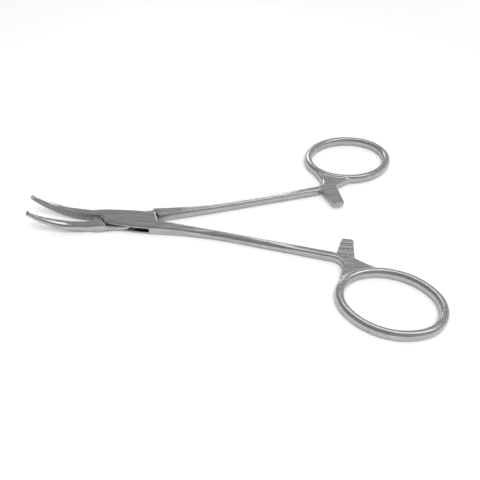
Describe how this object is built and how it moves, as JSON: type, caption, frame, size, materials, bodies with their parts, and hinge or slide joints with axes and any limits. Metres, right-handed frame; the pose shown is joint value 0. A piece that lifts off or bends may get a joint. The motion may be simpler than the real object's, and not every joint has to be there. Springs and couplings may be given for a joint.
{
  "type": "hemostat forceps",
  "caption": "Curved artery forceps: box lock joint with a flush rivet, tapered serrated jaws that bend out of plane, slim shanks, toothed ratchet and oval finger rings.",
  "frame": {"origin": "the pivot axis, where it meets the flat face that the instrument lies on", "axes": "+X from the joint towards the finger rings, along the middle line between the two halves; +Y towards the ring of the male half; +Z along the pivot axis, the way the jaws bend"},
  "size_m": [0.1219, 0.1022, 0.0081],
  "materials": {
    "steel": "satin"
  },
  "bodies": {
    "box_half": {"female_half": "steel", "pivot_rivet": "steel"},
    "male_half": {"male_half": "steel"}
  },
  "joints": [
    {"name": "pivot", "type": "hinge", "parent": "box_half", "child": "male_half", "pos_m": [0, 0, 0.0015], "axis": [0, 0, 1], "range_deg": [-14.4, 40]}
  ]
}
